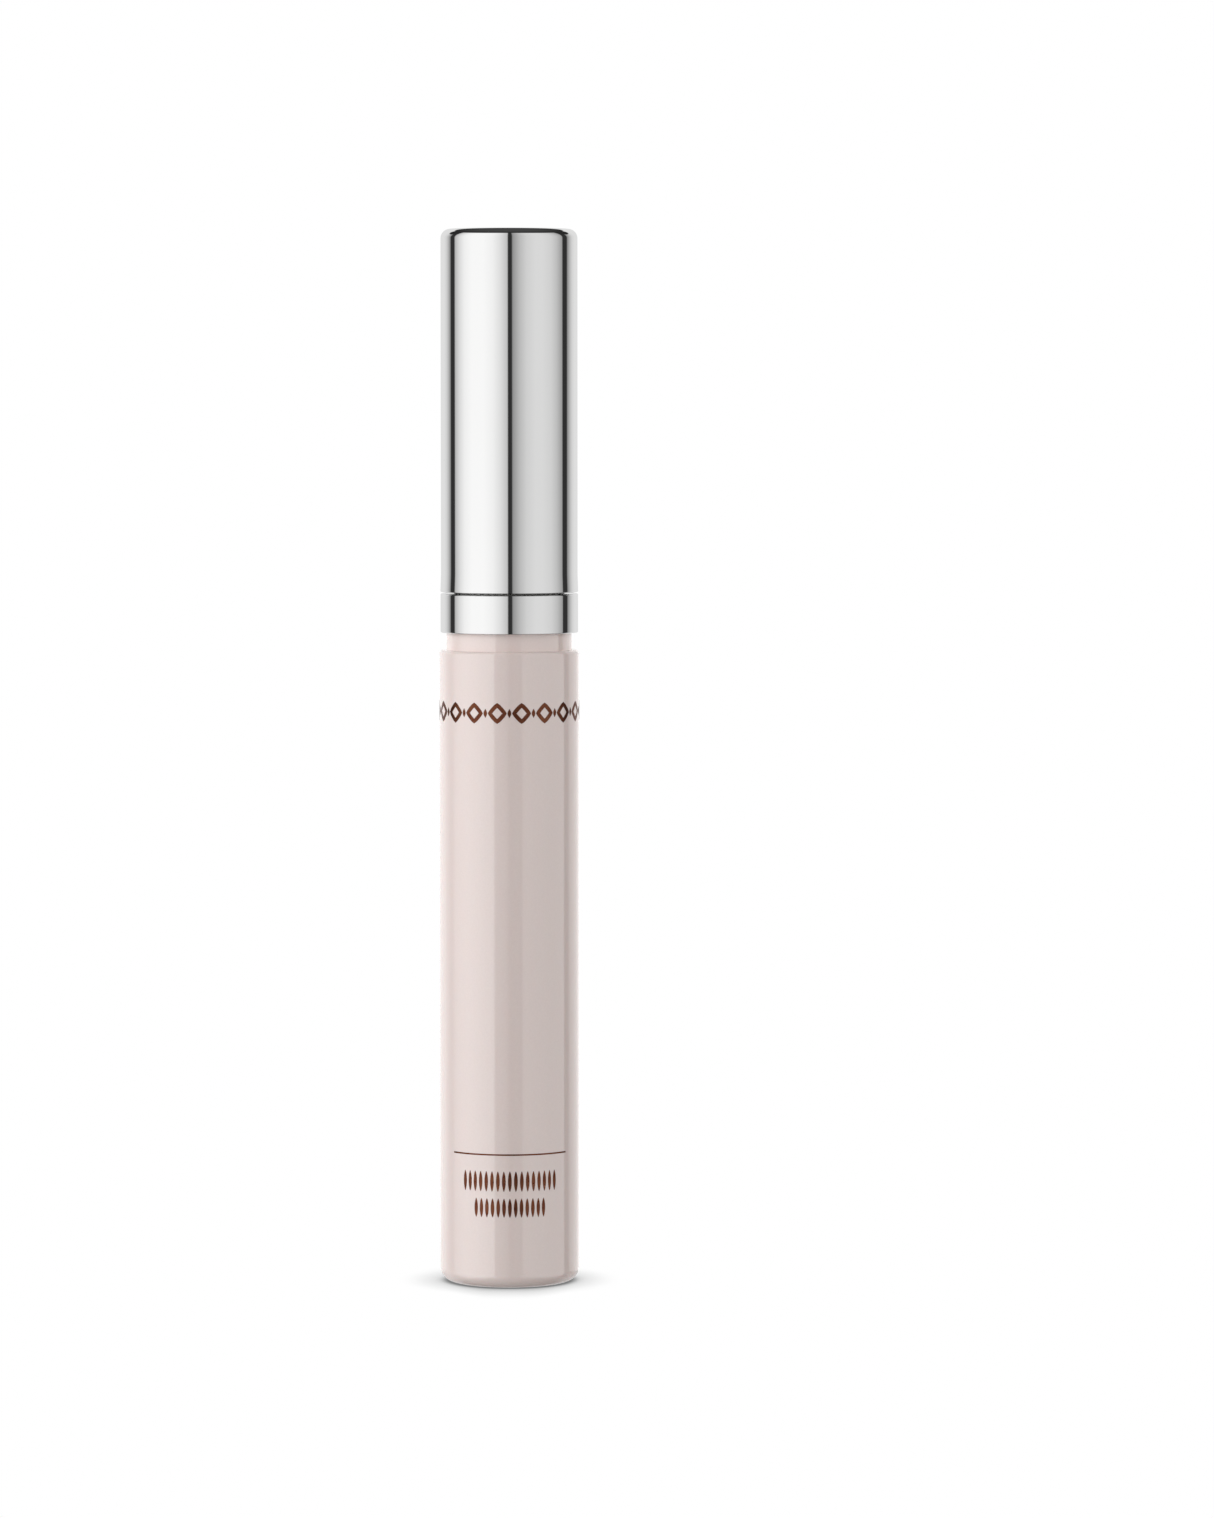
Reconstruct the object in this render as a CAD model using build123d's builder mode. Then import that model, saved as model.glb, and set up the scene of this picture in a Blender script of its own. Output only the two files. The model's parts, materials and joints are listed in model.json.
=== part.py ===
"""Mascara tube: a closed cosmetic bottle with a screw cap that carries a stem and a moulded brush.

Millimetres, +Z up, origin at the middle of the bottle's base, every round piece about the Z axis.
"""

import os

from build123d import *

# ---- driving dimensions ----

# bottle
TUBE_RADIUS = 8.6
BODY_HEIGHT = 78.1
BASE_ROUND = 1.65
SHOULDER_ROUND = 0.45
LAND_RADIUS = 7.75
LAND_TOP = 83.8
SLEEVE_FLOOR = 1.6

# blank round label, set into the base
LABEL_RADIUS = 5.7
LABEL_GAP = 0.1
LABEL_RECESS = 0.3
LABEL_THICKNESS = 0.12

# vial inside the sleeve
VIAL_RADIUS = 6.8
VIAL_WALL = 0.9
VIAL_FLOOR = 1.2
VIAL_OUTER_ROUND = 1.2
VIAL_INNER_ROUND = 1.5
PRESS_RADIUS = 6.85
PRESS_LENGTH = 5.6
FLANGE_THICKNESS = 0.6
NECK_RADIUS = 6.0
NECK_BORE = 4.9
NECK_TOP = 94.0
NECK_CONE_START = 78.5
NECK_CONE_SLOPE = 2.0
LIP_ROUND = 0.25

# neck thread and cap thread, one right-hand start each
THREAD_PITCH = 2.5
THREAD_DEPTH = 0.6
THREAD_ROOT = 0.1
MALE_WIDTH = 1.2
MALE_CREST = 0.7
MALE_START = 88.0
MALE_TURNS = 1.4
FEMALE_RADIUS = 6.75
FEMALE_WIDTH = 1.1
FEMALE_CREST = 0.6
FEMALE_TURNS = 1.25

# soft wiper in the neck
WIPER_FLANGE_RADIUS = 5.7
WIPER_FLANGE = 0.5
WIPER_WALL = 0.6
WIPER_CONE_TOP = 86.5
WIPER_LIP_TOP = 81.2
WIPER_LIP_LENGTH = 1.0
WIPER_LIP_WALL = 0.35
WIPER_CLEARANCE = 0.05
SNAP_HEIGHT = 0.15
SNAP_LENGTH = 0.8
WIPER_SNAP_Z = 91.0

# washer between the wiper and the cap
SEAL_THICKNESS = 0.6
SEAL_RADIUS = 5.6
SEAL_BORE = 2.6

# chrome collar ring
COLLAR_RADIUS = 8.46
COLLAR_BOTTOM = 80.22
COLLAR_TOP = 85.0
COLLAR_FLANGE = 0.5
COLLAR_BORE = 6.7
COLLAR_CLEARANCE = 0.05
COLLAR_EDGE = 0.15
BEAD_Z = 82.2

# chrome cap shell
CAP_RADIUS = 8.4
RIM_RADIUS = 8.475
RIM_BOTTOM = 85.2
FLARE_LENGTH = 2.2
CAP_TOP = 129.71
CAP_WALL = 0.65
CROWN_THICKNESS = 0.8
CROWN_ROUND = 1.15
RIM_EDGE = 0.12

# threaded inner cap
INNER_RIM = 85.8
INNER_RIM_CHAMFER = 0.3
INNER_TOP = 128.1
PARTITION = 4.6
SOCKET_DEPTH = 3.8

# steel weight in the cap
WEIGHT_RADIUS = 6.6
WEIGHT_LENGTH = 8.0
WEIGHT_EDGE = 0.5

# stem
STEM_RADIUS = 2.4
STEM_HEAD_RADIUS = 3.0
STEM_END = 27.3
BULLET_LENGTH = 3.0
BULLET_END_RADIUS = 1.95
PLUG_RADIUS = 1.2
PLUG_DEPTH = 9.0

# brush
BRUSH_COLLAR_RADIUS = 1.675
BRUSH_COLLAR_LENGTH = 0.9
BRUSH_TIP = 5.8
BRUSH_TIP_ROUND = 0.3
CORE_RADIUS = 0.95
SKIN_RADIUS = 1.35
BRISTLE_ROWS = 33
BRISTLES_PER_ROW = 9
FIRST_ROW = 7.1
ROW_PITCH = 0.54
BRISTLE_REACH = 2.94
BRISTLE_ROOT_RADIUS = 0.175
BRISTLE_TIP_RADIUS = 0.075

# paste in the vial
FORMULA_TOP = 66.0
FORMULA_RISE = 1.0
CHANNEL_RADIUS = 3.15
CHANNEL_FLOOR = 5.2

# ---- worked-out dimensions ----

VIAL_BORE = VIAL_RADIUS - VIAL_WALL
VIAL_INNER_FLOOR = SLEEVE_FLOOR + VIAL_FLOOR
FLANGE_TOP = LAND_TOP + FLANGE_THICKNESS
NECK_CONE_TOP = NECK_CONE_START + NECK_CONE_SLOPE * (VIAL_BORE - NECK_BORE)
RECESS_RADIUS = LABEL_RADIUS + LABEL_GAP
WIPER_ORIFICE = STEM_RADIUS + WIPER_CLEARANCE
WIPER_TOP = NECK_TOP + WIPER_FLANGE
SEAL_TOP = WIPER_TOP + SEAL_THICKNESS
SHELL_BORE = CAP_RADIUS - CAP_WALL
PARTITION_TOP = SEAL_TOP + PARTITION
SOCKET_TOP = SEAL_TOP + SOCKET_DEPTH
COLLAR_INNER = LAND_RADIUS + COLLAR_CLEARANCE
BRUSH_TOP = STEM_END - BRUSH_COLLAR_LENGTH


def corners_at(sketch, radius, heights):
    """The vertices of a half section that lie at one radius and at any of some heights."""
    return [
        v
        for v in sketch.vertices()
        if abs(v.X - radius) < 1e-4 and any(abs(v.Y - z) < 1e-4 for z in heights)
    ]


def snap_bump(radius, height):
    """Three points of a shallow snap bead or groove on a turned outline, from below to above."""
    return [
        (radius, height - SNAP_LENGTH / 2),
        (radius + SNAP_HEIGHT, height),
        (radius, height + SNAP_LENGTH / 2),
    ]


def thread_ridge(surface_radius, depth, width, crest, start_height, turns):
    """One helical ridge that stands out of a round surface by depth, inwards where depth is negative."""
    sunk = THREAD_ROOT if depth > 0 else -THREAD_ROOT
    with BuildPart() as ridge:
        with BuildLine() as path:
            Helix(THREAD_PITCH, THREAD_PITCH * turns, surface_radius, center=(0, 0, start_height))
        with BuildSketch(Plane.XZ):
            with BuildLine():
                Polyline(
                    (surface_radius - sunk, start_height - width / 2),
                    (surface_radius + depth, start_height - crest / 2),
                    (surface_radius + depth, start_height + crest / 2),
                    (surface_radius - sunk, start_height + width / 2),
                    close=True,
                )
            make_face()
        sweep(path=path.line, is_frenet=True)
    return ridge.part


male_thread = thread_ridge(
    NECK_RADIUS, THREAD_DEPTH, MALE_WIDTH, MALE_CREST, MALE_START, MALE_TURNS
)
female_thread = thread_ridge(
    FEMALE_RADIUS,
    -THREAD_DEPTH,
    FEMALE_WIDTH,
    FEMALE_CREST,
    MALE_START - THREAD_PITCH / 2,
    FEMALE_TURNS,
)

# ---- bottle ----

with BuildPart() as bottle_sleeve:
    with BuildSketch(Plane.XZ) as sleeve_section:
        with BuildLine():
            Polyline(
                (0, LABEL_RECESS),
                (RECESS_RADIUS, LABEL_RECESS),
                (RECESS_RADIUS, 0),
                (TUBE_RADIUS, 0),
                (TUBE_RADIUS, BODY_HEIGHT),
                (LAND_RADIUS, BODY_HEIGHT),
                *snap_bump(LAND_RADIUS, BEAD_Z),
                (LAND_RADIUS, LAND_TOP),
                (PRESS_RADIUS, LAND_TOP),
                (PRESS_RADIUS, SLEEVE_FLOOR),
                (0, SLEEVE_FLOOR),
                close=True,
            )
        make_face()
        fillet(corners_at(sleeve_section, TUBE_RADIUS, [0]), BASE_ROUND)
        fillet(corners_at(sleeve_section, TUBE_RADIUS, [BODY_HEIGHT]), SHOULDER_ROUND)
    revolve(axis=Axis.Z)

with BuildPart() as base_label:
    with BuildSketch(Plane.XY.offset(LABEL_RECESS - LABEL_THICKNESS)):
        Circle(LABEL_RADIUS)
    extrude(amount=LABEL_THICKNESS)

with BuildPart() as inner_vial:
    with BuildSketch(Plane.XZ) as vial_section:
        with BuildLine():
            Polyline(
                (0, SLEEVE_FLOOR),
                (VIAL_RADIUS, SLEEVE_FLOOR),
                (VIAL_RADIUS, LAND_TOP - PRESS_LENGTH),
                (PRESS_RADIUS, LAND_TOP - PRESS_LENGTH),
                (PRESS_RADIUS, LAND_TOP),
                (LAND_RADIUS, LAND_TOP),
                (LAND_RADIUS, FLANGE_TOP),
                (NECK_RADIUS, FLANGE_TOP),
                (NECK_RADIUS, NECK_TOP),
                (NECK_BORE, NECK_TOP),
                *reversed(snap_bump(NECK_BORE, WIPER_SNAP_Z)),
                (NECK_BORE, NECK_CONE_TOP),
                (VIAL_BORE, NECK_CONE_START),
                (VIAL_BORE, VIAL_INNER_FLOOR),
                (0, VIAL_INNER_FLOOR),
                close=True,
            )
        make_face()
        fillet(corners_at(vial_section, VIAL_RADIUS, [SLEEVE_FLOOR]), VIAL_OUTER_ROUND)
        fillet(corners_at(vial_section, VIAL_BORE, [VIAL_INNER_FLOOR]), VIAL_INNER_ROUND)
        fillet(corners_at(vial_section, NECK_RADIUS, [NECK_TOP]), LIP_ROUND)
    revolve(axis=Axis.Z)
    add(male_thread)

with BuildPart() as neck_wiper:
    with BuildSketch(Plane.XZ):
        with BuildLine():
            Polyline(
                (WIPER_FLANGE_RADIUS, WIPER_TOP),
                (WIPER_FLANGE_RADIUS, NECK_TOP),
                (NECK_BORE, NECK_TOP),
                *reversed(snap_bump(NECK_BORE, WIPER_SNAP_Z)),
                (NECK_BORE, WIPER_CONE_TOP),
                (WIPER_ORIFICE + WIPER_LIP_WALL, WIPER_LIP_TOP),
                (WIPER_ORIFICE + WIPER_LIP_WALL, WIPER_LIP_TOP - WIPER_LIP_LENGTH),
                (WIPER_ORIFICE, WIPER_LIP_TOP - WIPER_LIP_LENGTH),
                (WIPER_ORIFICE, WIPER_LIP_TOP + WIPER_LIP_WALL),
                (NECK_BORE - WIPER_WALL, WIPER_CONE_TOP + WIPER_LIP_WALL),
                (NECK_BORE - WIPER_WALL, WIPER_TOP),
                close=True,
            )
        make_face()
    revolve(axis=Axis.Z)

with BuildPart() as mascara_formula:
    with BuildSketch(Plane.XZ) as formula_section:
        with BuildLine():
            Polyline(
                (0, VIAL_INNER_FLOOR),
                (VIAL_BORE, VIAL_INNER_FLOOR),
                (VIAL_BORE, FORMULA_TOP + FORMULA_RISE),
                (CHANNEL_RADIUS, FORMULA_TOP),
                (CHANNEL_RADIUS, CHANNEL_FLOOR),
                (0, CHANNEL_FLOOR),
                close=True,
            )
        make_face()
        fillet(corners_at(formula_section, VIAL_BORE, [VIAL_INNER_FLOOR]), VIAL_INNER_ROUND)
    revolve(axis=Axis.Z)

# ---- collar ring ----

with BuildPart() as collar_ring:
    with BuildSketch(Plane.XZ) as collar_section:
        with BuildLine():
            Polyline(
                (COLLAR_INNER, COLLAR_BOTTOM),
                (COLLAR_RADIUS, COLLAR_BOTTOM),
                (COLLAR_RADIUS, COLLAR_TOP),
                (COLLAR_BORE, COLLAR_TOP),
                (COLLAR_BORE, COLLAR_TOP - COLLAR_FLANGE),
                (COLLAR_INNER, COLLAR_TOP - COLLAR_FLANGE),
                *reversed(snap_bump(COLLAR_INNER, BEAD_Z)),
                close=True,
            )
        make_face()
        fillet(corners_at(collar_section, COLLAR_RADIUS, [COLLAR_BOTTOM, COLLAR_TOP]), COLLAR_EDGE)
        fillet(corners_at(collar_section, COLLAR_BORE, [COLLAR_TOP]), COLLAR_EDGE)
    revolve(axis=Axis.Z)

# ---- washer ----

with BuildPart() as neck_seal:
    with BuildSketch(Plane.XY.offset(WIPER_TOP)):
        Circle(SEAL_RADIUS)
        Circle(SEAL_BORE, mode=Mode.SUBTRACT)
    extrude(amount=SEAL_THICKNESS)

# ---- cap ----

with BuildPart() as cap_shell:
    with BuildSketch(Plane.XZ) as shell_section:
        with BuildLine():
            Polyline(
                (SHELL_BORE, RIM_BOTTOM),
                (RIM_RADIUS, RIM_BOTTOM),
                (CAP_RADIUS, RIM_BOTTOM + FLARE_LENGTH),
                (CAP_RADIUS, CAP_TOP),
                (0, CAP_TOP),
                (0, CAP_TOP - CROWN_THICKNESS),
                (SHELL_BORE, CAP_TOP - CROWN_THICKNESS),
                close=True,
            )
        make_face()
        fillet(corners_at(shell_section, CAP_RADIUS, [CAP_TOP]), CROWN_ROUND)
        fillet(
            corners_at(shell_section, SHELL_BORE, [CAP_TOP - CROWN_THICKNESS]),
            CROWN_ROUND - CAP_WALL,
        )
        fillet(corners_at(shell_section, RIM_RADIUS, [RIM_BOTTOM]), RIM_EDGE)
    revolve(axis=Axis.Z)

with BuildPart() as inner_cap:
    with BuildSketch(Plane.XZ) as inner_section:
        with BuildLine():
            Polyline(
                (FEMALE_RADIUS, INNER_RIM),
                (SHELL_BORE, INNER_RIM),
                (SHELL_BORE, INNER_TOP),
                (FEMALE_RADIUS, INNER_TOP),
                (FEMALE_RADIUS, PARTITION_TOP),
                (0, PARTITION_TOP),
                (0, SOCKET_TOP),
                (STEM_HEAD_RADIUS, SOCKET_TOP),
                *reversed(snap_bump(STEM_HEAD_RADIUS, SEAL_TOP + SOCKET_DEPTH / 2)),
                (STEM_HEAD_RADIUS, SEAL_TOP),
                (FEMALE_RADIUS, SEAL_TOP),
                close=True,
            )
        make_face()
        chamfer(corners_at(inner_section, FEMALE_RADIUS, [INNER_RIM]), INNER_RIM_CHAMFER)
    revolve(axis=Axis.Z)
    add(female_thread)

with BuildPart() as cap_weight:
    with BuildSketch(Plane.XY.offset(PARTITION_TOP)):
        Circle(WEIGHT_RADIUS)
    extrude(amount=WEIGHT_LENGTH)
    chamfer(cap_weight.edges().filter_by(GeomType.CIRCLE), WEIGHT_EDGE)

with BuildPart() as wand_stem:
    with BuildSketch(Plane.XZ):
        with BuildLine():
            shoulder = (STEM_RADIUS, STEM_END + BULLET_LENGTH)
            Polyline(
                shoulder,
                (STEM_RADIUS, SEAL_TOP),
                (STEM_HEAD_RADIUS, SEAL_TOP),
                *snap_bump(STEM_HEAD_RADIUS, SEAL_TOP + SOCKET_DEPTH / 2),
                (STEM_HEAD_RADIUS, SOCKET_TOP),
                (0, SOCKET_TOP),
                (0, STEM_END + PLUG_DEPTH),
                (PLUG_RADIUS, STEM_END + PLUG_DEPTH),
                (PLUG_RADIUS, STEM_END),
                (BULLET_END_RADIUS, STEM_END),
            )
            bullet_end = (BULLET_END_RADIUS, STEM_END)
            TangentArc(shoulder, bullet_end, tangent=(0, -1))
        make_face()
    revolve(axis=Axis.Z)

with BuildPart() as brush_core:
    with BuildSketch(Plane.XZ) as core_section:
        with BuildLine():
            Polyline(
                (0, BRUSH_TIP + SKIN_RADIUS - CORE_RADIUS),
                (CORE_RADIUS, BRUSH_TIP + SKIN_RADIUS - CORE_RADIUS),
                (CORE_RADIUS, BRUSH_TOP),
                (BRUSH_COLLAR_RADIUS, BRUSH_TOP),
                (BRUSH_COLLAR_RADIUS, STEM_END),
                (PLUG_RADIUS, STEM_END),
                (PLUG_RADIUS, STEM_END + PLUG_DEPTH),
                (0, STEM_END + PLUG_DEPTH),
                close=True,
            )
        make_face()
        fillet(corners_at(core_section, BRUSH_COLLAR_RADIUS, [BRUSH_TOP]), COLLAR_EDGE)
    revolve(axis=Axis.Z)

# one bristle, along +X from inside the skin to its tip
with BuildPart() as bristle:
    with BuildSketch(Plane.YZ.offset(SKIN_RADIUS - THREAD_ROOT)):
        Circle(BRISTLE_ROOT_RADIUS)
    with BuildSketch(Plane.YZ.offset(BRISTLE_REACH)):
        Circle(BRISTLE_TIP_RADIUS)
    loft()

row_turn = 180 / BRISTLES_PER_ROW
with BuildPart() as brush_bristles:
    with BuildSketch(Plane.XZ) as skin_section:
        with BuildLine():
            Polyline(
                (0, BRUSH_TIP),
                (SKIN_RADIUS, BRUSH_TIP),
                (SKIN_RADIUS, BRUSH_TOP),
                (CORE_RADIUS, BRUSH_TOP),
                (CORE_RADIUS, BRUSH_TIP + SKIN_RADIUS - CORE_RADIUS),
                (0, BRUSH_TIP + SKIN_RADIUS - CORE_RADIUS),
                close=True,
            )
        make_face()
        fillet(corners_at(skin_section, SKIN_RADIUS, [BRUSH_TIP]), BRUSH_TIP_ROUND)
    revolve(axis=Axis.Z)
    for row in range(BRISTLE_ROWS):
        with Locations(Plane.XY.offset(FIRST_ROW + row * ROW_PITCH)):
            with PolarLocations(0, BRISTLES_PER_ROW, start_angle=-90 + row_turn * ((row + 1) % 2)):
                add(bristle.part)

# ---- labels and files ----

pieces = {
    "bottle_sleeve": bottle_sleeve,
    "base_label": base_label,
    "inner_vial": inner_vial,
    "neck_wiper": neck_wiper,
    "mascara_formula": mascara_formula,
    "collar_ring": collar_ring,
    "neck_seal": neck_seal,
    "cap_shell": cap_shell,
    "inner_cap": inner_cap,
    "cap_weight": cap_weight,
    "wand_stem": wand_stem,
    "brush_core": brush_core,
    "brush_bristles": brush_bristles,
}

os.makedirs("parts", exist_ok=True)
for name, piece in pieces.items():
    piece.part.label = name
    export_step(piece.part, f"parts/{name}.step")
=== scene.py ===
"""Looks of the mascara tube: materials, foil decoration, the moulded brush, studio and camera.

Metres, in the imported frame: +Z up the tube's axis, -Y towards the camera.
"""

import json
import math

import bmesh
import bpy
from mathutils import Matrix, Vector


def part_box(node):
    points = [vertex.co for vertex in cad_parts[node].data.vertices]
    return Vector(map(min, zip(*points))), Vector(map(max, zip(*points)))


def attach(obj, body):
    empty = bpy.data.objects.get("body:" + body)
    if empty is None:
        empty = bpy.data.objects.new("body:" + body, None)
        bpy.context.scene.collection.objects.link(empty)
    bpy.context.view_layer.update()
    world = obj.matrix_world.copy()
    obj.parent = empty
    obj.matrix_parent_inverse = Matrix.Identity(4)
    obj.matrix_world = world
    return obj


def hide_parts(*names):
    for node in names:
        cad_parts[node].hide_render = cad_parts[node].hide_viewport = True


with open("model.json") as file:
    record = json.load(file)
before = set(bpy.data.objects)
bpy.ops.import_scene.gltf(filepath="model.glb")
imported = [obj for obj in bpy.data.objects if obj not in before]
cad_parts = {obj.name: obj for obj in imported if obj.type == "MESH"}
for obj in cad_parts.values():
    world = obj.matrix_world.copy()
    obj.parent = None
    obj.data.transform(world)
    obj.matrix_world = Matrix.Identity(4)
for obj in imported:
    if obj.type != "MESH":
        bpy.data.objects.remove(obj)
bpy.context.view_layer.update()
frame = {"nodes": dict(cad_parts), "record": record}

nodes = frame["nodes"]
scene = bpy.context.scene
scene.view_settings.view_transform = "Standard"

MM = 0.001
MICRON = 0.000001

# ---- turned shells: half sections as (radius, height, rounding) in millimetres ----

BOTTLE_SECTION = (
    (0, 0.3, 0),
    (5.8, 0.3, 0),
    (5.8, 0, 0.1),
    (8.6, 0, 1.65),
    (8.6, 78.1, 0.45),
    (7.75, 78.1, 0),
    (7.75, 81.8, 0),
    (7.9, 82.2, 0),
    (7.75, 82.6, 0),
    (7.75, 83.8, 0),
    (6.85, 83.8, 0),
    (6.85, 1.6, 0),
    (0, 1.6, 0),
)
COLLAR_SECTION = (
    (7.8, 80.22, 0),
    (8.46, 80.22, 0.15),
    (8.46, 85.0, 0.15),
    (6.7, 85.0, 0.15),
    (6.7, 84.5, 0),
    (7.8, 84.5, 0),
    (7.8, 82.6, 0),
    (7.95, 82.2, 0),
    (7.8, 81.8, 0),
    (7.8, 80.22, 0),
)
CAP_SECTION = (
    (7.75, 85.2, 0),
    (8.475, 85.2, 0.12),
    (8.4, 87.4, 8),
    (8.4, 129.71, 1.15),
    (0, 129.71, 0),
    (0, 128.91, 0),
    (7.75, 128.91, 0.5),
    (7.75, 85.2, 0),
)
SHELL_SIDES = 256
ARC_STEPS = 16
GUARD = 0.015
WELD = 1e-8
SHARP = math.radians(30)

# ---- foil marks, pressed onto the bottle's wall ----

FOIL_PROUD = 0.012 * MM
FOIL_SUNK = 0.03 * MM
BAND_MIDDLE = 70.65 * MM
BAND_HEIGHT = 2.56 * MM
BAND_COUNT = 18
BAND_STROKE = 0.50 * MM
BAND_DASH = 0.46 * MM
DASH_SHARE = 0.42
LOZENGE_SPREAD = 0.31
LOZENGE_BOW = 0.86
RULE_MIDDLE = 16.54 * MM
RULE_HALF_ARC = math.radians(52.6)
RULE_STROKE = 0.19 * MM
SPINDLE_ROWS = (
    {"middle": 13.26 * MM, "height": 2.47 * MM, "width": 11.8 * MM, "count": 17},
    {"middle": 10.0 * MM, "height": 2.31 * MM, "width": 8.6 * MM, "count": 13},
)
SPINDLE_WIDTH = 0.46 * MM
SPINDLE_FULLNESS = 0.6
THINNEST = 0.03 * MM

# ---- brush ----

SKIN_RADIUS = 1.35 * MM
SKIN_BORE = 0.95 * MM
SKIN_TIP = 5.8 * MM
SKIN_TOP = 26.4 * MM
SKIN_ROUND = 0.3 * MM
SKIN_STEPS = 6
ROWS = 33
BRISTLES = 9
FIRST_ROW = 7.1 * MM
ROW_PITCH = 0.54 * MM
BRISTLE_SIDES = 10
BRISTLE_OUTLINE = (
    (1.24, 0.27),
    (1.37, 0.225),
    (1.50, 0.190),
    (1.80, 0.172),
    (2.20, 0.150),
    (2.55, 0.122),
    (2.78, 0.090),
    (2.88, 0.062),
    (2.925, 0.032),
)
BRISTLE_TIP = 2.938

# ---- studio ----

EYE_HEIGHT = 0.1113
CAMERA_DISTANCE = 0.775
CAMERA_PITCH = math.radians(3.45)
CAMERA_YAW = math.radians(0.889)
LENS = 149.35
CARD_DISTANCE = 0.6
FILL_TOP = 0.6
SHEEN_TOP = 3.0
SHEEN_BOTTOM = -0.35
EDGE_BOTTOM = -0.12
LEFT_FILL = 1.67
RIGHT_FILL = 1.07
LEFT_SHEEN = 2.2
RIGHT_SHEEN = 1.4
LEFT_EDGE = 0.35
RIGHT_EDGE = 0.65
LEFT_TINT = (1.0, 1.045, 1.075)
RIGHT_TINT = (1.0, 1.02, 1.025)
WHITE = (1.0, 1.0, 1.0)
LEFT_FADE = ((0.0, 0.0), (0.11, 0.1), (0.29, 0.4), (0.45, 0.8), (0.65, 1.0), (1.0, 1.0))
RIGHT_FADE = ((0.0, 0.75), (0.4, 1.0))
DARKEST = 0.022
CEILING_TILT = math.radians(8.5)
CEILING_HALF = math.radians(48.5)
CEILING_SOFT = math.radians(1.5)
CEILING_GLOW = 0.035
GLOW_CORE = math.radians(12)
FLARE_AZIMUTH = math.radians(124)
FLARE_ELEVATION = math.radians(34)
FLARE_HALF = math.radians(14)
UNDERSIDE = 0.65
UNDERSIDE_REFLECTED = 0.08
STEEP = math.radians(36)
STEEPEST = math.radians(48)
FLOOR_RADIUS = 0.6
FLOOR_SIDES = 96
# painted shadow on the floor: its reach, where and how much it is painted lighter to the left and right,
# and the glow for each share of open sky round the tube's foot
SHADOW_REACH = 9 * MM
SIDE_START = 2.5 * MM
SIDE_END = 8.5 * MM
PAINTED_SIDE_LIFT = 0.13
SHADOW_STOPS = ((0.30, 0.2), (0.51, 0.45), (0.66, 0.63), (0.76, 0.79), (0.86, 0.87), (0.97, 1.0))
# softboxes round the tube: azimuths in degrees, 0 towards the camera. Each is brightest over a stretch
# in its middle and fades towards its two ends; between them it is nearly dark.
PANELS = (
    {"ends": (-103.5, -3), "bright": (-66, -44), "middle": 0.97, "at_ends": (0.47, 0.54)},
    {"ends": (6, 101), "bright": (45, 58), "middle": 0.71, "at_ends": (0.29, 0.33)},
    {"ends": (116, 242.5), "bright": (145, 218), "middle": 0.75, "at_ends": (0.25, 0.25)},
)
PANEL_EDGE = 1.6
PANEL_GAP = 0.03
FADE_SHARES = (0, 0.3, 0.6, 1)


# ---- material helpers ----

NOISE_LOW = 0.3
NOISE_HIGH = 0.7

def sockets(node, values):
    """Sets a node's inputs by name."""
    for key, value in values.items():
        node.inputs[key].default_value = value


class Shader:
    """A material whose Principled BSDF is fed by a few procedural nodes."""

    def __init__(self, name, **values):
        self.material = bpy.data.materials.new(name)
        self.material.use_nodes = True
        self.tree = self.material.node_tree
        self.surface = self.tree.nodes["Principled BSDF"]
        sockets(self.surface, values)
        self.place = self.tree.nodes.new("ShaderNodeTexCoord").outputs["Object"]

    def noise(self, scale, detail=3.0):
        """Noise with so many grains a metre along each axis of the piece."""
        mapping = self.tree.nodes.new("ShaderNodeMapping")
        mapping.inputs["Scale"].default_value = scale
        self.tree.links.new(self.place, mapping.inputs["Vector"])
        node = self.tree.nodes.new("ShaderNodeTexNoise")
        sockets(node, {"Scale": 1.0, "Detail": detail})
        self.tree.links.new(mapping.outputs["Vector"], node.inputs["Vector"])
        return node.outputs["Fac"]

    def tint(self, factor, dark, light):
        """Base colour that drifts between two colours."""
        ramp = self.tree.nodes.new("ShaderNodeValToRGB")
        first, last = ramp.color_ramp.elements
        first.position, last.position = NOISE_LOW, NOISE_HIGH
        first.color, last.color = (*dark, 1), (*light, 1)
        self.tree.links.new(factor, ramp.inputs["Fac"])
        self.tree.links.new(ramp.outputs["Color"], self.surface.inputs["Base Color"])

    def rough(self, factor, low, high):
        """Roughness that drifts between two values."""
        node = self.tree.nodes.new("ShaderNodeMapRange")
        sockets(node, {"From Min": NOISE_LOW, "From Max": NOISE_HIGH, "To Min": low, "To Max": high})
        self.tree.links.new(factor, node.inputs["Value"])
        self.tree.links.new(node.outputs["Result"], self.surface.inputs["Roughness"])

    def bump(self, source, height):
        """Surface relief of a real height in metres."""
        node = self.tree.nodes.new("ShaderNodeBump")
        sockets(node, {"Strength": 1.0, "Distance": height})
        self.tree.links.new(source, node.inputs["Height"])
        self.tree.links.new(node.outputs["Normal"], self.surface.inputs["Normal"])


def polished_chrome(name):
    """Mirror plating with a trace of unevenness from the moulding under it."""
    shader = Shader(name, Metallic=1.0)
    shader.tint(shader.noise((40, 40, 40)), (0.955, 0.955, 0.952), (0.970, 0.970, 0.967))
    shader.rough(shader.noise((700, 700, 90), 4.0), 0.02, 0.04)
    shader.bump(shader.noise((240, 240, 40), 2.0), 0.2 * MICRON)
    return shader.material


def pearl_plastic(name):
    """Glossy pink-beige moulding with a trace of pearl pigment under a clear skin."""
    shader = Shader(name, IOR=1.5)
    sockets(shader.surface, {"Subsurface Weight": 0.05, "Subsurface Scale": 0.0008})
    shader.tint(shader.noise((5200, 5200, 5200), 2.0), (0.745, 0.628, 0.592), (0.767, 0.650, 0.614))
    shader.rough(shader.noise((160, 160, 160)), 0.06, 0.08)
    shader.bump(shader.noise((420, 420, 160), 2.0), 0.6 * MICRON)
    return shader.material


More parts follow.
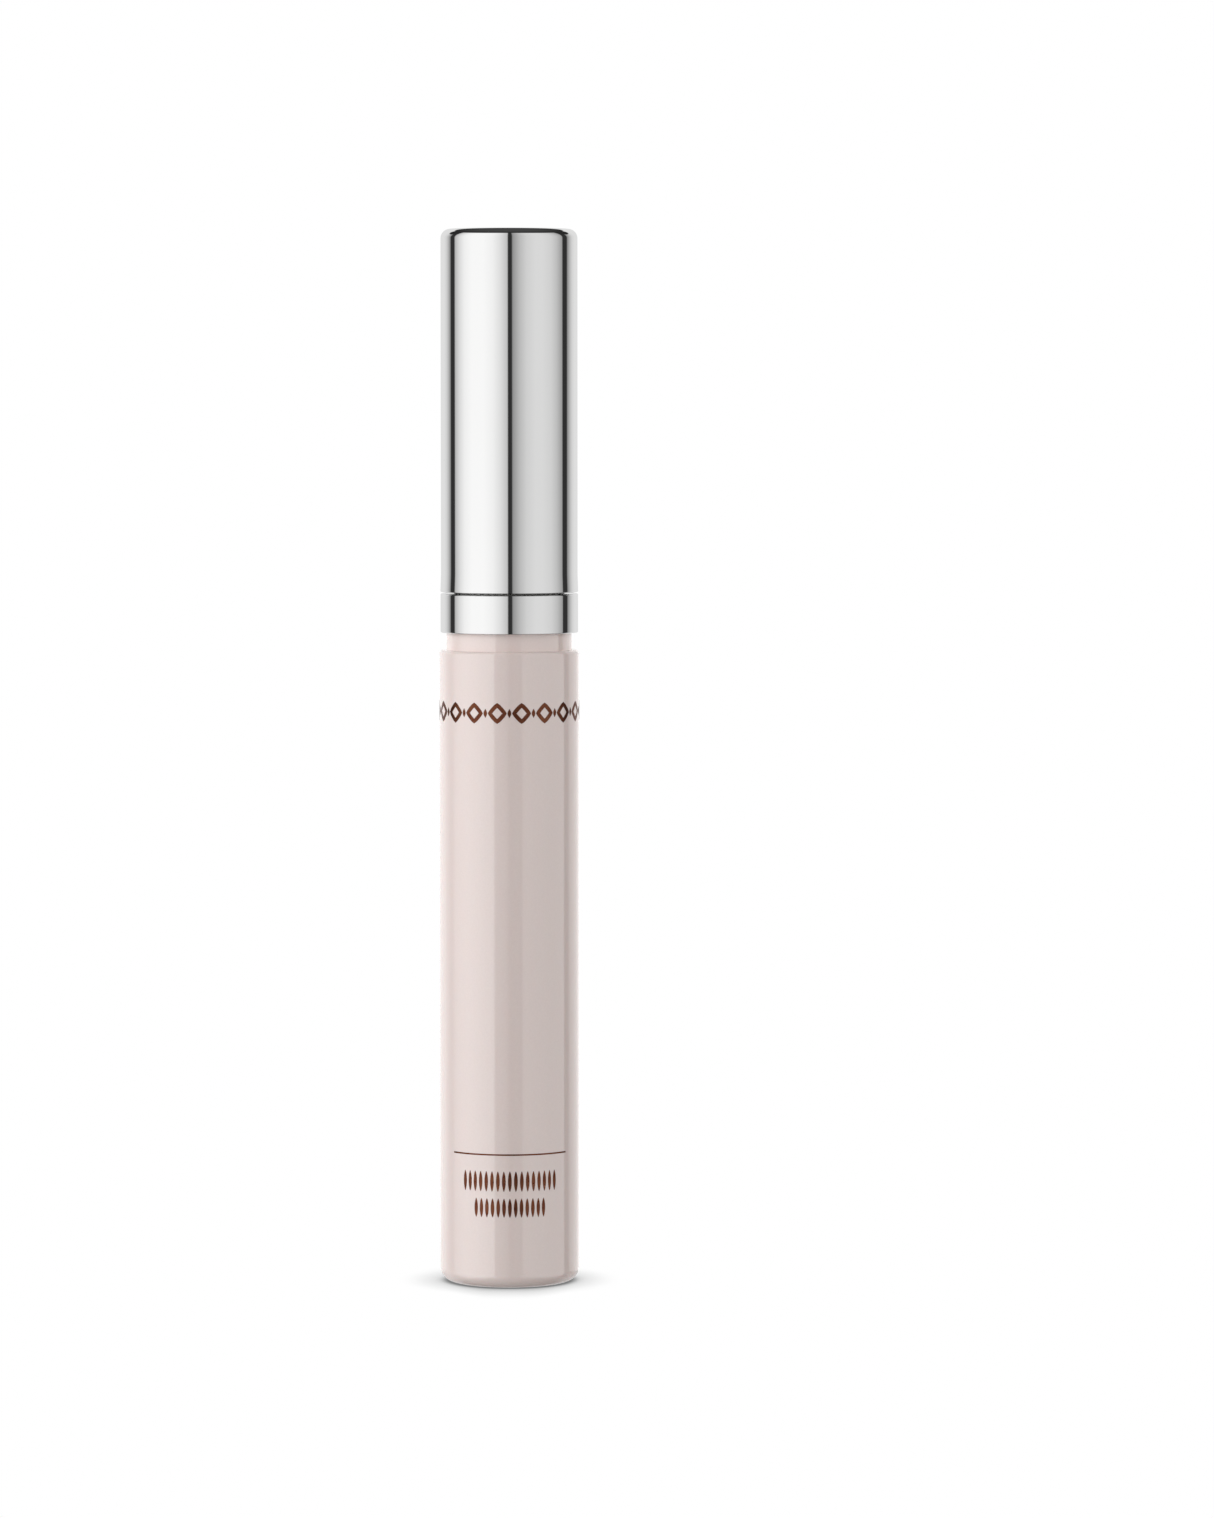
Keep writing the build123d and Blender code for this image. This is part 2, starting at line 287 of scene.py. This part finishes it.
def copper_foil(name):
    """Hot-stamped brown copper foil, a little uneven where it took."""
    shader = Shader(name, Metallic=1.0)
    shader.tint(shader.noise((900, 900, 900)), (0.15, 0.046, 0.026), (0.22, 0.082, 0.044))
    shader.rough(shader.noise((2400, 2400, 2400), 4.0), 0.26, 0.36)
    shader.bump(shader.noise((6000, 6000, 6000)), MICRON)
    return shader.material


def turned_steel(name):
    """Steel bar with the fine rings that a lathe tool leaves."""
    shader = Shader(name, Metallic=1.0)
    shader.tint(shader.noise((60, 60, 2500), 2.0), (0.40, 0.39, 0.38), (0.56, 0.55, 0.54))
    shader.rough(shader.noise((200, 200, 9000)), 0.22, 0.4)
    shader.bump(shader.noise((20, 20, 9000), 2.0), 4 * MICRON)
    return shader.material


def moulded(name, dark, light, rough, grain=1500, relief=1.2 * MICRON, **values):
    """Moulded plastic or rubber: slight colour drift, its own gloss and a fine grain."""
    shader = Shader(name, **values)
    shader.tint(shader.noise((300, 300, 120)), dark, light)
    shader.rough(shader.noise((grain, grain, grain / 3), 4.0), *rough)
    shader.bump(shader.noise((grain, grain, grain), 4.0), relief)
    return shader.material


def smooth_black(name, rough, index):
    """The warm black that stem, brush core and bristles are moulded in."""
    return moulded(name, (0.013, 0.012, 0.0095), (0.021, 0.019, 0.0150), rough, IOR=index)


def satin_film(name):
    """The blank label's film."""
    return moulded(name, (0.68, 0.67, 0.65), (0.74, 0.73, 0.71), (0.35, 0.5), grain=4000)


def milky_plastic(name):
    """The vial's natural polypropylene, moulded smooth."""
    dark, light = (0.71, 0.69, 0.65), (0.75, 0.73, 0.69)
    return moulded(name, dark, light, (0.20, 0.26), grain=900, relief=0.5 * MICRON)


def soft_plastic(name):
    """The wiper's soft natural polyethylene."""
    return moulded(name, (0.62, 0.61, 0.58), (0.70, 0.69, 0.66), (0.35, 0.5))


def closed_foam(name):
    """The washer's fine closed-cell foam."""
    dark, light = (0.60, 0.60, 0.57), (0.72, 0.72, 0.69)
    return moulded(name, dark, light, (0.6, 0.85), grain=6000, relief=20 * MICRON)


def paste(name):
    """Wet black mascara, lumpy where the brush has been through it."""
    dark, light = (0.004, 0.0035, 0.003), (0.012, 0.010, 0.009)
    return moulded(name, dark, light, (0.12, 0.3), grain=700, relief=60 * MICRON)


finishes = {
    "bottle_pink": pearl_plastic("pearl_pink"),
    "collar_chrome": polished_chrome("collar_mirror"),
    "cap_chrome": polished_chrome("cap_mirror"),
    "label_film": satin_film("satin_film"),
    "vial_plastic": milky_plastic("milky"),
    "wiper_plastic": soft_plastic("soft_white"),
    "mascara_paste": paste("wet_black"),
    "seal_foam": closed_foam("foam"),
    "inner_cap_plastic": smooth_black("inner_cap_black", (0.22, 0.34), 1.5),
    "weight_steel": turned_steel("turned_steel"),
    "stem_plastic": smooth_black("stem_black", (0.10, 0.16), 1.9),
    "brush_core_plastic": smooth_black("core_black", (0.22, 0.32), 1.7),
    "bristle_elastomer": smooth_black("bristle_black", (0.28, 0.40), 1.6),
}

for part in frame["record"]["subparts"]:
    node = nodes[part["node"]]
    node.data.materials.clear()
    node.data.materials.append(finishes[part["material_slot"]])


# ---- mesh helpers ----


def finished(name, mesh, material, body):
    """Turns a bmesh into a piece that rides on a body and fills a material slot."""
    bmesh.ops.recalc_face_normals(mesh, faces=mesh.faces)
    data = bpy.data.meshes.new(name)
    mesh.to_mesh(data)
    mesh.free()
    data.materials.append(material)
    piece = bpy.data.objects.new(name, data)
    scene.collection.objects.link(piece)
    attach(piece, body)
    return piece


def skin_between(mesh, rings):
    """Quads between rings that have the same number of vertices."""
    for here, there in zip(rings, rings[1:]):
        count = len(here)
        for k in range(count):
            mesh.faces.new((here[k], here[(k + 1) % count], there[(k + 1) % count], there[k]))


def turned(mesh, outline, sides=48):
    """A turned skin about the Z axis from (radius, height) points; a radius of 0 makes a pole."""
    rings = []
    for radius, height in outline:
        if radius == 0:
            rings.append([mesh.verts.new((0, 0, height))])
            continue
        ring = []
        for k in range(sides):
            angle = 2 * math.pi * k / sides
            ring.append(mesh.verts.new((radius * math.cos(angle), radius * math.sin(angle), height)))
        rings.append(ring)
    for here, there in zip(rings, rings[1:]):
        if len(here) == 1 and len(there) == 1:
            continue
        if len(here) == 1 or len(there) == 1:
            pole, ring = (here[0], there) if len(here) == 1 else (there[0], here)
            for k in range(sides):
                mesh.faces.new((pole, ring[k], ring[(k + 1) % sides]))
        else:
            skin_between(mesh, [here, there])


def rounded(section):
    """A half section in metres whose corners are rounded, with a guard point beside every arc."""
    points = []
    last = len(section) - 1
    for i, (x, z, radius) in enumerate(section):
        corner = Vector((x, z))
        if radius == 0:
            points.append(corner)
            continue
        before = (Vector(section[i - 1][:2]) - corner).normalized()
        after = (Vector(section[min(i + 1, last)][:2]) - corner).normalized()
        half = before.angle(after) / 2
        cut = radius / math.tan(half)
        centre = corner + (before + after).normalized() * (radius / math.sin(half))
        start = (corner + before * cut - centre).normalized()
        end = (corner + after * cut - centre).normalized()
        points.append(corner + before * (cut + GUARD))
        for k in range(ARC_STEPS + 1):
            points.append(centre + start.slerp(end, k / ARC_STEPS) * radius)
        points.append(corner + after * (cut + GUARD))
    return [(point.x * MM, point.y * MM) for point in points]


def shell(name, section, node, slot, body):
    """A finely turned copy of a shell that stands in for the CAD node."""
    mesh = bmesh.new()
    turned(mesh, rounded(section), SHELL_SIDES)
    bmesh.ops.remove_doubles(mesh, verts=mesh.verts, dist=WELD)
    piece = finished(name, mesh, finishes[slot], body)
    piece.data.shade_smooth()
    piece.data.set_sharp_from_angle(angle=SHARP)
    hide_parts(node)
    return piece


bottle_shell = shell("bottle_shell", BOTTLE_SECTION, "bottle_sleeve", "bottle_pink", "bottle")
shell("collar_shell", COLLAR_SECTION, "collar_ring", "collar_chrome", "collar")
shell("cap_mirror_shell", CAP_SECTION, "cap_shell", "cap_chrome", "cap")


# ---- foil decoration ----

foil = copper_foil("copper_foil")
wall_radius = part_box("bottle_sleeve")[1][0]


def on_wall(across, height, out):
    """A point at an arc length from the front line, a height, and so far out of the wall."""
    angle = across / wall_radius
    radius = wall_radius + out
    return Vector((radius * math.sin(angle), -radius * math.cos(angle), height))


def stroke(mesh, path, half_widths, closed=False):
    """A thin ribbon on the wall along a path of (across, height) points."""
    last = len(path) - 1
    rings = []
    for i, (across, height) in enumerate(path):
        before = path[i - 1] if closed or i else path[i]
        after = path[(i + 1) % (last + 1)] if closed or i < last else path[i]
        along = Vector((after[0] - before[0], after[1] - before[1])).normalized()
        side = Vector((-along.y, along.x)) * half_widths[i]
        ring = []
        for sign, out in ((1, FOIL_PROUD), (-1, FOIL_PROUD), (-1, -FOIL_SUNK), (1, -FOIL_SUNK)):
            ring.append(mesh.verts.new(on_wall(across + sign * side.x, height + sign * side.y, out)))
        rings.append(ring)
    if closed:
        rings.append(rings[0])
    else:
        mesh.faces.new(rings[0][::-1])
        mesh.faces.new(rings[-1])
    skin_between(mesh, rings)


def lozenge(middle, half_width, half_height, steps=32):
    """The closed centre line of an upright lozenge with slightly bowed sides."""
    points = []
    for i in range(steps):
        turn = i / steps * 2 * math.pi
        x, y = math.cos(turn), math.sin(turn)
        reach = (abs(x) + abs(y)) ** -LOZENGE_BOW
        points.append((middle[0] + half_width * reach * x, middle[1] + half_height * reach * y))
    return points


def spindle(mesh, middle, width, height, fullness, steps=12):
    """A slender upright leaf, pointed at both ends."""
    path = []
    widths = []
    for i in range(steps + 1):
        share = i / steps
        path.append((middle[0], middle[1] + height * (share - 0.5)))
        widths.append(max(THINNEST, width / 2 * math.sin(math.pi * share) ** fullness))
    stroke(mesh, path, widths)


def foil_band():
    """A band of open lozenges with small leaves between them, all round the bottle."""
    mesh = bmesh.new()
    spacing = 2 * math.pi * wall_radius / BAND_COUNT
    for i in range(BAND_COUNT):
        centre = ((i + 0.5) * spacing, BAND_MIDDLE)
        ring = lozenge(centre, LOZENGE_SPREAD * spacing, (BAND_HEIGHT - BAND_STROKE) / 2)
        stroke(mesh, ring, [BAND_STROKE / 2] * len(ring), closed=True)
        spindle(mesh, (i * spacing, BAND_MIDDLE), BAND_DASH, DASH_SHARE * BAND_HEIGHT, 1.0)
    finished("foil_band", mesh, foil, "bottle")


def foil_rule(steps=96):
    """A thin line across the front."""
    mesh = bmesh.new()
    half_length = RULE_HALF_ARC * wall_radius
    path = [(half_length * (2 * i / steps - 1), RULE_MIDDLE) for i in range(steps + 1)]
    stroke(mesh, path, [RULE_STROKE / 2] * len(path))
    finished("foil_rule", mesh, foil, "bottle")


def foil_rows():
    """Two short rows of slender leaves under the rule."""
    mesh = bmesh.new()
    for row in SPINDLE_ROWS:
        for i in range(row["count"]):
            across = row["width"] * (i / (row["count"] - 1) - 0.5)
            spindle(mesh, (across, row["middle"]), SPINDLE_WIDTH, row["height"], SPINDLE_FULLNESS)
    finished("foil_rows", mesh, foil, "bottle")


foil_band()
foil_rule()
foil_rows()


# ---- brush: bristles with filleted roots and rounded tips on a round skin ----


def bristle(mesh, height, angle):
    """One bristle that points out from the axis."""
    out = Vector((math.cos(angle), math.sin(angle), 0))
    side = Vector((-out.y, out.x, 0))
    rings = []
    for reach, radius in BRISTLE_OUTLINE:
        ring = []
        for k in range(BRISTLE_SIDES):
            turn = 2 * math.pi * k / BRISTLE_SIDES
            offset = side * math.cos(turn) + Vector((0, 0, math.sin(turn)))
            point = out * reach + offset * radius
            ring.append(mesh.verts.new(point * MM + Vector((0, 0, height))))
        rings.append(ring)
    skin_between(mesh, rings)
    mesh.faces.new(rings[0][::-1])
    tip = mesh.verts.new(out * BRISTLE_TIP * MM + Vector((0, 0, height)))
    for k in range(BRISTLE_SIDES):
        mesh.faces.new((rings[-1][k], rings[-1][(k + 1) % BRISTLE_SIDES], tip))


def brush():
    """The soft moulding: its skin over the core and every bristle."""
    mesh = bmesh.new()
    outline = [(0, SKIN_TIP)]
    for i in range(SKIN_STEPS + 1):
        turn = math.pi / 2 * i / SKIN_STEPS
        radius = SKIN_RADIUS - SKIN_ROUND + SKIN_ROUND * math.sin(turn)
        outline.append((radius, SKIN_TIP + SKIN_ROUND - SKIN_ROUND * math.cos(turn)))
    inner_floor = SKIN_TIP + SKIN_RADIUS - SKIN_BORE
    outline += [(SKIN_RADIUS, SKIN_TOP), (SKIN_BORE, SKIN_TOP), (SKIN_BORE, inner_floor), (0, inner_floor)]
    turned(mesh, outline)
    for row in range(ROWS):
        shift = math.pi / BRISTLES * ((row + 1) % 2)
        for k in range(BRISTLES):
            angle = -math.pi / 2 + shift + 2 * math.pi * k / BRISTLES
            bristle(mesh, FIRST_ROW + row * ROW_PITCH, angle)
    piece = finished("brush_moulding", mesh, finishes["bristle_elastomer"], "cap")
    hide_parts("brush_bristles")
    return piece


moulding = brush()
moulding.data.shade_smooth()


# ---- camera ----

camera_data = bpy.data.cameras.new("camera")
camera_data.lens = LENS
camera_data.sensor_width = 36.0
camera_data.clip_start, camera_data.clip_end = 0.01, 20.0
camera = bpy.data.objects.new("camera", camera_data)
camera.location = (0, -CAMERA_DISTANCE, EYE_HEIGHT)
camera.rotation_euler = (math.pi / 2 - CAMERA_PITCH, 0, -CAMERA_YAW)
scene.collection.objects.link(camera)
scene.camera = camera


# ---- soft cards that light the plastic pieces ----

every_plastic = bpy.data.collections.new("every_plastic")
for name, node in nodes.items():
    if name not in ("cap_shell", "collar_ring"):
        every_plastic.objects.link(node)
every_plastic.objects.link(moulding)
every_plastic.objects.link(bottle_shell)
bottle_only = bpy.data.collections.new("bottle_only")
bottle_only.objects.link(bottle_shell)


def fade(data, stops):
    """Dims an area light along its width: stops are (place from its left end, share)."""
    data.use_nodes = True
    tree = data.node_tree
    where = tree.nodes.new("ShaderNodeNewGeometry")
    split = tree.nodes.new("ShaderNodeSeparateXYZ")
    ramp = tree.nodes.new("ShaderNodeValToRGB")
    fill_ramp(ramp, stops)
    tree.links.new(where.outputs["Parametric"], split.inputs[0])
    tree.links.new(split.outputs["X"], ramp.inputs["Fac"])
    tree.links.new(ramp.outputs["Color"], tree.nodes["Emission"].inputs["Strength"])


def fill_ramp(ramp, stops):
    """Puts (place, grey value) stops on a colour ramp."""
    elements = ramp.color_ramp.elements
    while len(elements) < len(stops):
        elements.new(0.5)
    for element, (place, value) in zip(elements, stops):
        element.position = place
        element.color = (value, value, value, 1)


def card(name, start, end, bottom, top, brightness, group, tint=WHITE, sheen=False):
    """An upright softbox over a range of azimuths in degrees, seen from the tube's axis.

    A sheen card only shows in reflections; the others only give diffuse light.
    """
    middle = math.radians((start + end) / 2)
    data = bpy.data.lights.new(name, "AREA")
    data.shape = "RECTANGLE"
    data.size = 2 * CARD_DISTANCE * math.tan(math.radians((end - start) / 2))
    data.size_y = top - bottom
    data.energy = brightness * math.pi * data.size * data.size_y
    data.color = tint
    light = bpy.data.objects.new(name, data)
    outward = Vector((math.sin(middle), -math.cos(middle), 0))
    light.location = outward * CARD_DISTANCE + Vector((0, 0, (bottom + top) / 2))
    light.rotation_mode = "QUATERNION"
    light.rotation_quaternion = (-outward).to_track_quat("-Z", "Y")
    light.visible_camera = False
    light.visible_diffuse = not sheen
    light.visible_glossy = sheen
    light.light_linking.receiver_collection = group
    scene.collection.objects.link(light)
    return data


card("left_fill", -145, -25, 0, FILL_TOP, LEFT_FILL, every_plastic, LEFT_TINT)
card("right_fill", 50, 160, 0, FILL_TOP, RIGHT_FILL, every_plastic, RIGHT_TINT)
left = card("left_sheen", -112, -25, SHEEN_BOTTOM, SHEEN_TOP, LEFT_SHEEN, every_plastic, sheen=True)
fade(left, LEFT_FADE)
right = card("right_sheen", 21, 101.6, SHEEN_BOTTOM, SHEEN_TOP, RIGHT_SHEEN, bottle_only, sheen=True)
fade(right, RIGHT_FADE)
card("left_edge", -185, -128, EDGE_BOTTOM, SHEEN_TOP, LEFT_EDGE, bottle_only, sheen=True)
card("right_edge", 115, 175, EDGE_BOTTOM, SHEEN_TOP, RIGHT_EDGE, bottle_only, sheen=True)


# ---- world: a ring of panels under a dark ceiling, and white paper for the camera ----


def calculated(tree, operation, first, second=None):
    """A maths node whose inputs are numbers or other nodes' outputs."""
    node = tree.nodes.new("ShaderNodeMath")
    node.operation = operation
    for socket, value in zip(node.inputs, (first, second)):
        if isinstance(value, float):
            socket.default_value = value
        elif value is not None:
            tree.links.new(value, socket)
    return node.outputs[0]


def stepped(tree, value, start, end, low, high):
    """A smooth step from low to high while value goes from start to end."""
    node = tree.nodes.new("ShaderNodeMapRange")
    node.interpolation_type = "SMOOTHSTEP"
    sockets(node, {"From Min": start, "From Max": end, "To Min": low, "To Max": high})
    tree.links.new(value, node.inputs["Value"])
    return node.outputs["Result"]


def panel_stops():
    """Ramp stops once round the tube, from behind it: each panel fades along a parabola to its ends."""
    stops = []
    for panel in PANELS:
        edges = (-PANEL_EDGE, PANEL_EDGE)
        for end, bright, value, edge in zip(panel["ends"], panel["bright"], panel["at_ends"], edges):
            stops.append((end + edge, PANEL_GAP))
            for share in FADE_SHARES:
                level = value + (panel["middle"] - value) * (1 - (1 - share) ** 2)
                stops.append((end + share * (bright - end), level))
    return sorted(((degrees + 180) % 360 / 360, level - DARKEST) for degrees, level in stops)


def panel_ring(tree, split):
    """The panels' brightness by azimuth."""
    ahead = calculated(tree, "MULTIPLY", split.outputs["Y"], -1.0)
    azimuth = calculated(tree, "ARCTAN2", split.outputs["X"], ahead)
    turn = calculated(tree, "DIVIDE", azimuth, 2 * math.pi)
    ramp = tree.nodes.new("ShaderNodeValToRGB")
    fill_ramp(ramp, panel_stops())
    tree.links.new(calculated(tree, "ADD", turn, 0.5), ramp.inputs["Fac"])
    return ramp.outputs["Color"]


def nearness(tree, direction, azimuth, elevation):
    """The cosine of a direction's angle from a point in the sky."""
    level = math.cos(elevation)
    toward = (level * math.sin(azimuth), -level * math.cos(azimuth), math.sin(elevation))
    node = tree.nodes.new("ShaderNodeVectorMath")
    node.operation = "DOT_PRODUCT"
    tree.links.new(direction, node.inputs[0])
    node.inputs[1].default_value = toward
    return node.outputs["Value"]


def outside(tree, near, half_angle):
    """One outside a round patch of sky and nothing inside it."""
    outer, inner = math.cos(half_angle + CEILING_SOFT), math.cos(half_angle - CEILING_SOFT)
    return stepped(tree, near, outer, inner, 1.0, 0.0)


def ceiling(tree, split, direction):
    """The share of panel that shows past the dark ceiling and its flares, and the ceiling's glow."""
    top = nearness(tree, direction, math.pi, math.pi / 2 - CEILING_TILT)
    mirrored = tree.nodes.new("ShaderNodeCombineXYZ")
    tree.links.new(calculated(tree, "ABSOLUTE", split.outputs["X"]), mirrored.inputs["X"])
    tree.links.new(split.outputs["Y"], mirrored.inputs["Y"])
    tree.links.new(split.outputs["Z"], mirrored.inputs["Z"])
    side = nearness(tree, mirrored.outputs[0], FLARE_AZIMUTH, FLARE_ELEVATION)
    past_top = outside(tree, top, CEILING_HALF)
    past_both = calculated(tree, "MINIMUM", past_top, outside(tree, side, FLARE_HALF))
    glow = stepped(tree, top, math.cos(CEILING_HALF), math.cos(GLOW_CORE), 0.0, CEILING_GLOW)
    return past_both, glow


def lit_from_above(tree, split, ray):
    """One above the floor; less for diffuse light from under it and for steep reflections of it."""
    height = split.outputs["Z"]
    under = stepped(tree, height, -0.01, 0.0, UNDERSIDE, 1.0)
    steep = stepped(tree, height, -math.sin(STEEPEST), -math.sin(STEEP), UNDERSIDE_REFLECTED, 1.0)
    mix = tree.nodes.new("ShaderNodeMix")
    tree.links.new(ray.outputs["Is Diffuse Ray"], mix.inputs[0])
    tree.links.new(steep, mix.inputs[2])
    tree.links.new(under, mix.inputs[3])
    return mix.outputs[0]


def studio_world():
    """The whole surrounding."""
    world = bpy.data.worlds.new("studio")
    world.use_nodes = True
    tree = world.node_tree
    tree.nodes.clear()
    coordinate = tree.nodes.new("ShaderNodeTexCoord")
    split = tree.nodes.new("ShaderNodeSeparateXYZ")
    tree.links.new(coordinate.outputs["Generated"], split.inputs[0])
    ray = tree.nodes.new("ShaderNodeLightPath")
    studio = tree.nodes.new("ShaderNodeBackground")
    past_ceiling, glow = ceiling(tree, split, coordinate.outputs["Generated"])
    panels = calculated(tree, "MULTIPLY", panel_ring(tree, split), past_ceiling)
    indoors = calculated(tree, "ADD", calculated(tree, "ADD", panels, DARKEST), glow)
    tree.links.new(indoors, studio.inputs["Color"])
    tree.links.new(lit_from_above(tree, split, ray), studio.inputs["Strength"])
    paper = tree.nodes.new("ShaderNodeBackground")
    sockets(paper, {"Color": (1, 1, 1, 1), "Strength": 1.0})
    mix = tree.nodes.new("ShaderNodeMixShader")
    output = tree.nodes.new("ShaderNodeOutputWorld")
    tree.links.new(ray.outputs["Is Camera Ray"], mix.inputs["Fac"])
    tree.links.new(studio.outputs[0], mix.inputs[1])
    tree.links.new(paper.outputs[0], mix.inputs[2])
    tree.links.new(mix.outputs[0], output.inputs["Surface"])
    scene.world = world


studio_world()


# ---- the pale floor: glowing white paper with a painted contact shadow where the tube stands on it ----


def paper_floor():
    """A white glowing disc with a painted soft contact shadow from occlusion, painted lighter to the left
    and right of the tube.
    """
    mesh = bmesh.new()
    bmesh.ops.create_circle(mesh, cap_ends=True, segments=FLOOR_SIDES, radius=FLOOR_RADIUS)
    data = bpy.data.meshes.new("floor")
    mesh.to_mesh(data)
    mesh.free()
    floor = bpy.data.objects.new("floor", data)
    scene.collection.objects.link(floor)
    shader = Shader("white_paper_painted_shadow", Roughness=1.0)
    sockets(shader.surface, {"Base Color": (0, 0, 0, 1), "Specular IOR Level": 0.0})
    shader.surface.inputs["Emission Strength"].default_value = 1.0
    # painted shadow: the floor's glow is darkened where occlusion finds the tube close by
    open_share = shader.tree.nodes.new("ShaderNodeAmbientOcclusion")
    open_share.inputs["Distance"].default_value = SHADOW_REACH
    split = shader.tree.nodes.new("ShaderNodeSeparateXYZ")
    shader.tree.links.new(shader.place, split.inputs[0])
    # painted light: the shadow is painted lighter with distance to the left and right along X; no card
    # lights the floor
    across = calculated(shader.tree, "ABSOLUTE", split.outputs["X"])
    painted_side_lift = stepped(shader.tree, across, SIDE_START, SIDE_END, 0.0, PAINTED_SIDE_LIFT)
    ramp = shader.tree.nodes.new("ShaderNodeValToRGB")
    fill_ramp(ramp, SHADOW_STOPS)
    painted_shadow_openness = calculated(shader.tree, "ADD", open_share.outputs["AO"], painted_side_lift)
    shader.tree.links.new(painted_shadow_openness, ramp.inputs["Fac"])
    shader.tree.links.new(ramp.outputs["Color"], shader.surface.inputs["Emission Color"])
    data.materials.append(shader.material)
    floor.visible_glossy = False
    floor.visible_diffuse = False
    floor.visible_shadow = False


paper_floor()
